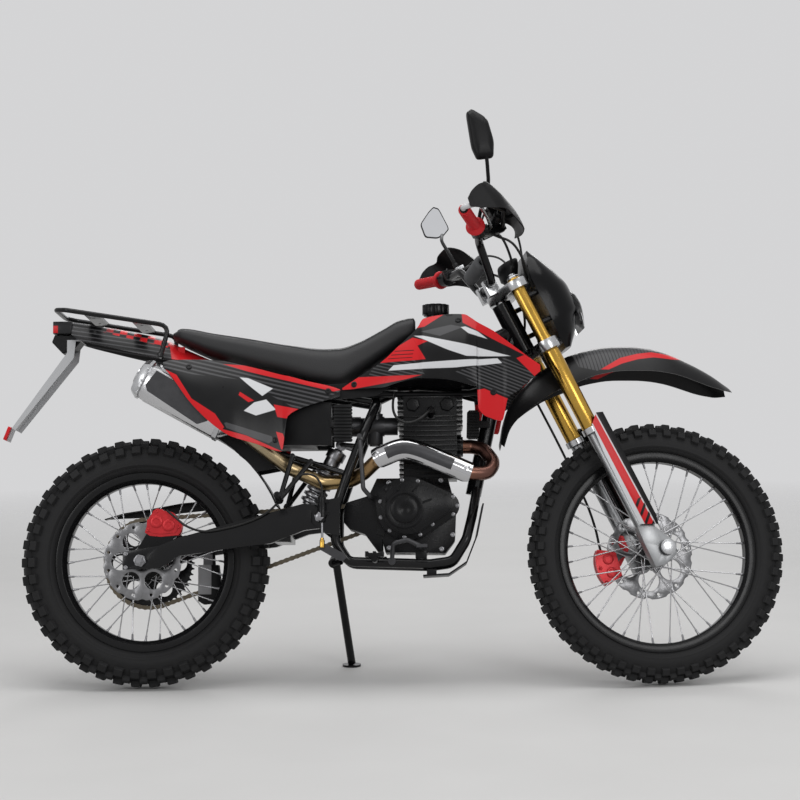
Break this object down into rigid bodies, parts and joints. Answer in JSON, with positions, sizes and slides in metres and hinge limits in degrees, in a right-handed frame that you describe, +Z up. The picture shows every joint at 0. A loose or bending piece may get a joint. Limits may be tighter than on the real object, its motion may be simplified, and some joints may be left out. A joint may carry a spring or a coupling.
{
  "type": "trail motorcycle",
  "caption": "Off-road style motorcycle with tall spoked wheels, long fork, rear rack and side stand; the bars steer, the wheels spin and the stand folds.",
  "frame": {"origin": "on the floor under the middle of the bounding box of the bike as it leans on its side stand", "axes": "+X towards the front wheel, +Y to the left of the rider, +Z up from the floor"},
  "size_m": [2.1175, 0.8314, 1.5395],
  "materials": {
    "frame_black": "gloss",
    "engine_black": "satin",
    "black_plastic": "satin",
    "panel": "gloss",
    "red_plastic": "gloss",
    "red_alloy": "gloss",
    "tyre": "matt",
    "rim": "gloss",
    "steel": "brushed",
    "chrome": "polished",
    "alloy": "satin",
    "gold": "anodised",
    "pipe": "heat tinted",
    "chain": "oiled",
    "vinyl": "matt",
    "grip": "matt",
    "foam": "matt",
    "lens": "clear",
    "lamp_red": "clear tinted"
  },
  "bodies": {
    "chassis": {"main_frame": "frame_black", "subframe": "frame_black", "swingarm": "frame_black", "rear_axle_set": "steel", "chain": "chain", "chain_guards": "black_plastic", "rear_shock": "steel", "rear_caliper": "red_alloy", "mud_guard": "black_plastic", "crankcase": "engine_black", "engine_covers": "engine_black", "cylinder_block": "engine_black", "carburettor": "steel", "airbox": "black_plastic", "exhaust_pipe": "pipe", "heat_shield": "chrome", "silencer": "steel", "fuel_tank": "black_plastic", "fuel_cap": "black_plastic", "shrouds": "red_plastic", "seat": "vinyl", "side_panels": "panel", "tail_fender": "red_plastic", "rear_lamps": "lamp_red", "luggage_rack": "frame_black", "plate_bracket": "alloy", "foot_pegs": "steel", "foot_levers": "steel", "skid_plate": "black_plastic"},
    "steering": {"triple_clamps": "alloy", "handlebar": "rim", "bar_pad": "foam", "grips": "grip", "hand_guards": "black_plastic", "guard_bars": "alloy", "hand_levers": "steel", "mirrors": "black_plastic", "headlamp_mask": "black_plastic", "headlamp_lens": "lens", "front_fender": "black_plastic", "fork_tubes": "gold", "fork_legs": "chrome", "front_axle": "steel", "fork_guards": "alloy", "front_caliper": "red_alloy"},
    "front_wheel": {"front_tyre": "tyre", "front_rim": "rim", "front_spokes": "steel", "front_hub": "rim", "front_disc": "steel"},
    "rear_wheel": {"rear_tyre": "tyre", "rear_rim": "rim", "rear_spokes": "steel", "rear_hub": "rim", "rear_disc": "steel", "rear_sprocket": "rim"},
    "side_stand": {"side_stand": "frame_black"}
  },
  "joints": [
    {"name": "steer", "type": "hinge", "parent": "chassis", "child": "steering", "pos_m": [0.65241, -0.15013, 0.31916], "axis": [-0.4443, 0.1554, 0.8823], "range_deg": [-50, 30]},
    {"name": "front_wheel_spin", "type": "hinge", "parent": "steering", "child": "front_wheel", "pos_m": [0.70888, -0.13431, 0.3448], "axis": [-0.1559, 0.9564, -0.247], "continuous": true},
    {"name": "rear_wheel_spin", "type": "hinge", "parent": "chassis", "child": "rear_wheel", "pos_m": [-0.67028, -0.14795, 0.33439], "axis": [-0.0004, 0.9848, -0.1736], "continuous": true},
    {"name": "side_stand_fold", "type": "hinge", "parent": "chassis", "child": "side_stand", "pos_m": [-0.16331, -0.01425, 0.31987], "axis": [0.1928, 0.9127, 0.3603], "range_deg": [0, 92]}
  ]
}
